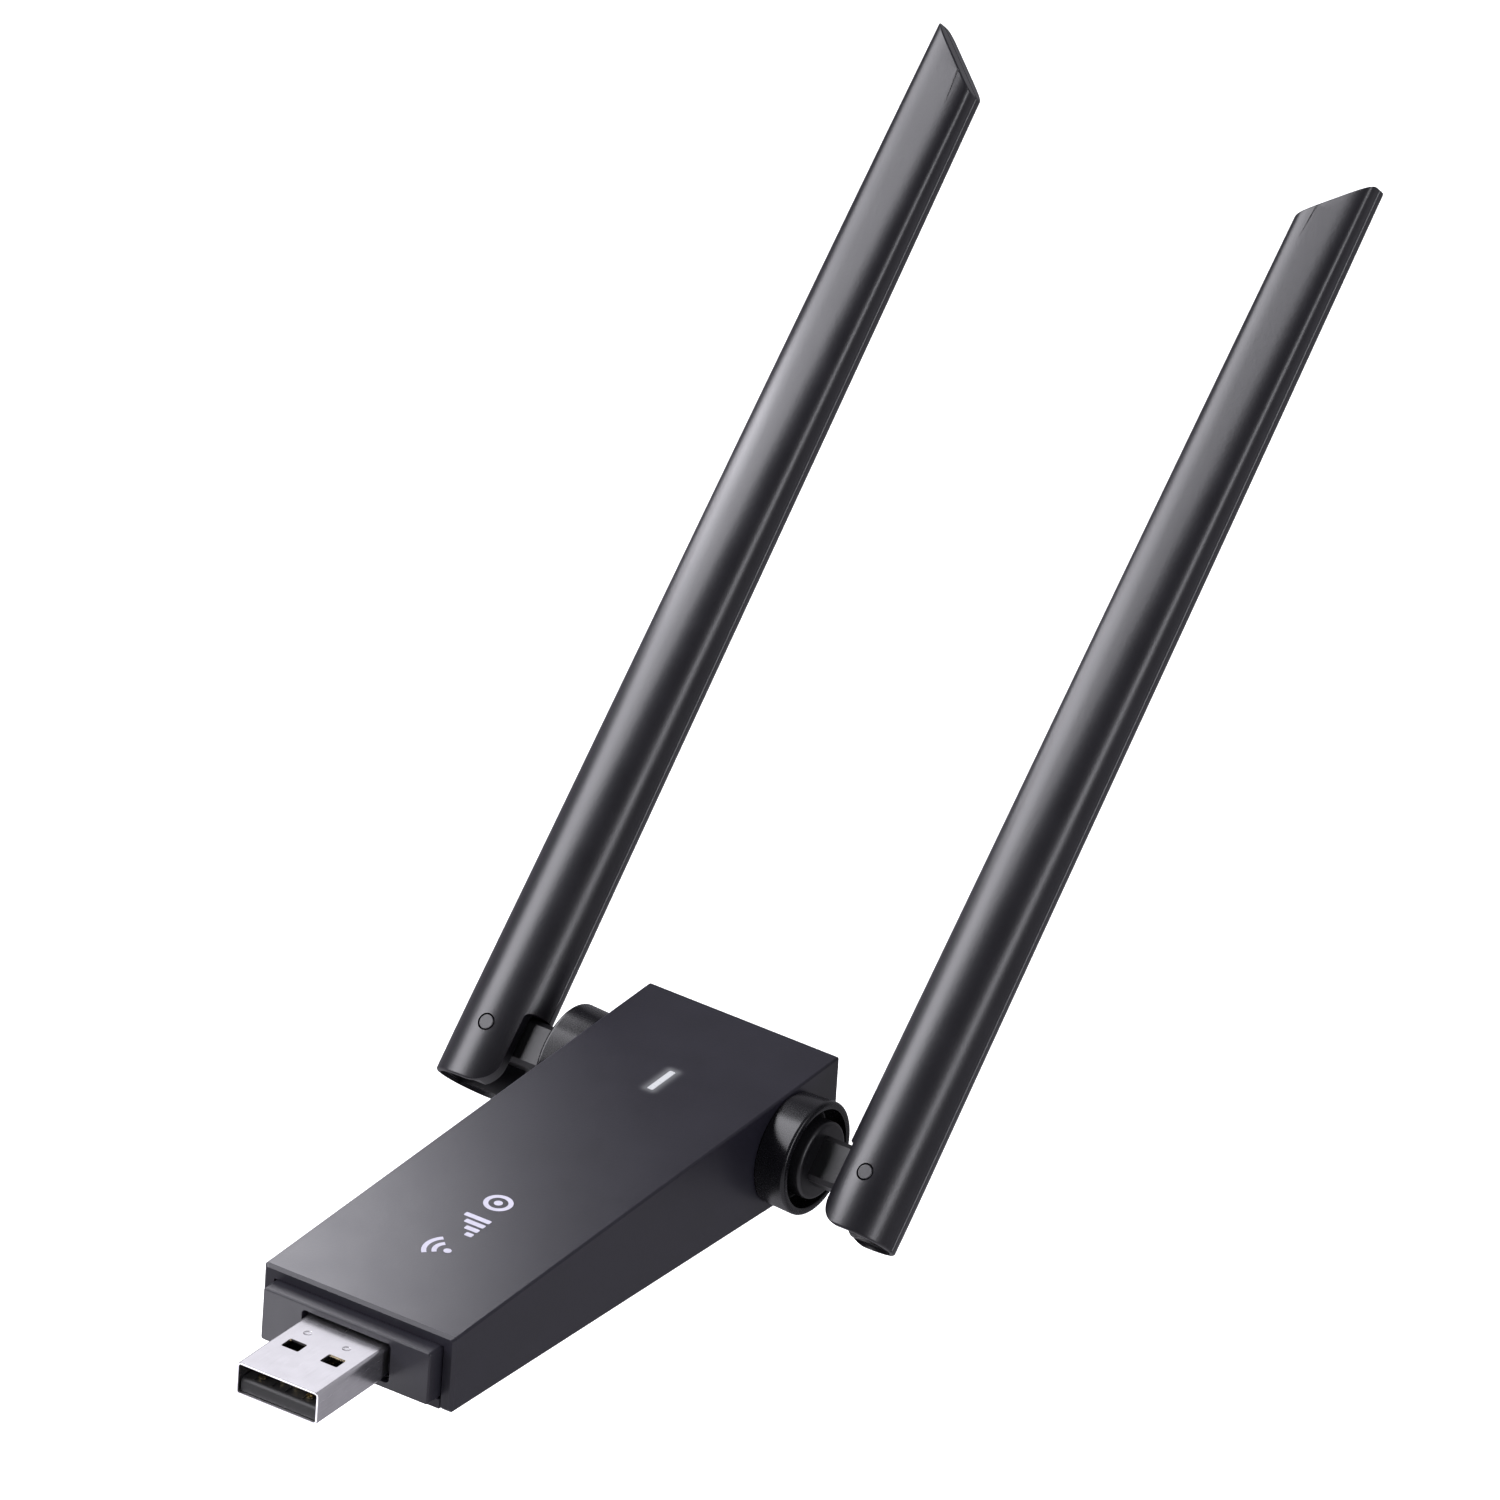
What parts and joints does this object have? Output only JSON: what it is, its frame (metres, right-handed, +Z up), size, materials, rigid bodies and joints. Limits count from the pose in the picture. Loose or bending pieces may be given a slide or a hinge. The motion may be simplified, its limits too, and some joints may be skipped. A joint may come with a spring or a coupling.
{
  "type": "usb wifi adapter",
  "caption": "Wedge-shaped USB stick adapter with a status light and a pair of long aerials on swivelling, folding hinges.",
  "frame": {"origin": "on the USB plug's axis, in the face of the front bezel, which stops against the host's port", "axes": "+X to the adapter's right, seen from behind the plug; +Y from the plug to the back of the case; +Z up, to the side with the light"},
  "size_m": [0.067, 0.1809, 0.1109],
  "materials": {
    "case_plastic": "satin moulded charcoal plastic with a very fine spark texture",
    "bezel_plastic": "satin charcoal plastic, a shade lighter than the case",
    "gloss_plastic": "smooth semi-gloss black plastic",
    "aerial_plastic": "satin black plastic with a fine grain and long soft highlights",
    "black_moulding": "black heat-resistant moulding",
    "clear_lens": "milky clear plastic, lit white from below",
    "lamp_resin": "yellowish lamp resin",
    "plated_steel": "bright nickel plate with faint drawing marks",
    "tinned_steel": "dull tin plate",
    "screw_steel": "dark zinc plate",
    "gold_plate": "thin gold plate",
    "circuit_board": "green solder mask over fine copper tracks",
    "chip_resin": "matt black moulding compound",
    "ferrite": "grey sintered ferrite",
    "cable_sleeve": "smooth black sleeve"
  },
  "bodies": {
    "root": {"board_screw_front": "screw_steel", "board_screw_rear": "screw_steel", "clock_crystal": "tinned_steel", "front_bezel": "bezel_plastic", "left_aerial_socket": "gold_plate", "left_board_lead": "cable_sleeve", "left_collar": "gloss_plastic", "left_lead_plug": "gold_plate", "light_pipe": "clear_lens", "lower_cover": "case_plastic", "main_board": "circuit_board", "power_inductor": "ferrite", "regulator_chip": "chip_resin", "right_aerial_socket": "gold_plate", "right_board_lead": "cable_sleeve", "right_collar": "gloss_plastic", "right_lead_plug": "gold_plate", "shield_can": "tinned_steel", "status_led": "lamp_resin", "upper_housing": "case_plastic", "usb_contact_1": "gold_plate", "usb_contact_2": "gold_plate", "usb_contact_3": "gold_plate", "usb_contact_4": "gold_plate", "usb_insulator": "black_moulding", "usb_shell": "plated_steel", "wifi_chip": "chip_resin"},
    "left_swivel": {"left_stem": "gloss_plastic", "left_retaining_clip": "screw_steel", "left_friction_washer": "plated_steel"},
    "left_aerial": {"left_aerial_front": "aerial_plastic", "left_aerial_back": "aerial_plastic", "left_hinge_pin": "aerial_plastic", "left_radiator": "circuit_board", "left_aerial_lead": "cable_sleeve"},
    "right_swivel": {"right_stem": "gloss_plastic", "right_retaining_clip": "screw_steel", "right_friction_washer": "plated_steel"},
    "right_aerial": {"right_aerial_front": "aerial_plastic", "right_aerial_back": "aerial_plastic", "right_hinge_pin": "aerial_plastic", "right_radiator": "circuit_board", "right_aerial_lead": "cable_sleeve"}
  },
  "joints": [
    {"name": "left_swivel_turn", "type": "hinge", "parent": "root", "child": "left_swivel", "pos_m": [-0.0186, 0.07385, 0], "axis": [1, 0, 0], "range_deg": [-47.7, 132.3]},
    {"name": "left_fold", "type": "hinge", "parent": "left_swivel", "child": "left_aerial", "pos_m": [-0.02805, 0.07385, 0], "axis": [0, -0.7396, 0.673], "range_deg": [0, 90]},
    {"name": "right_swivel_turn", "type": "hinge", "parent": "root", "child": "right_swivel", "pos_m": [0.0186, 0.07385, 0], "axis": [1, 0, 0], "range_deg": [-47.7, 132.3]},
    {"name": "right_fold", "type": "hinge", "parent": "right_swivel", "child": "right_aerial", "pos_m": [0.02805, 0.07385, 0], "axis": [0, 0.7396, -0.673], "range_deg": [0, 90]}
  ]
}
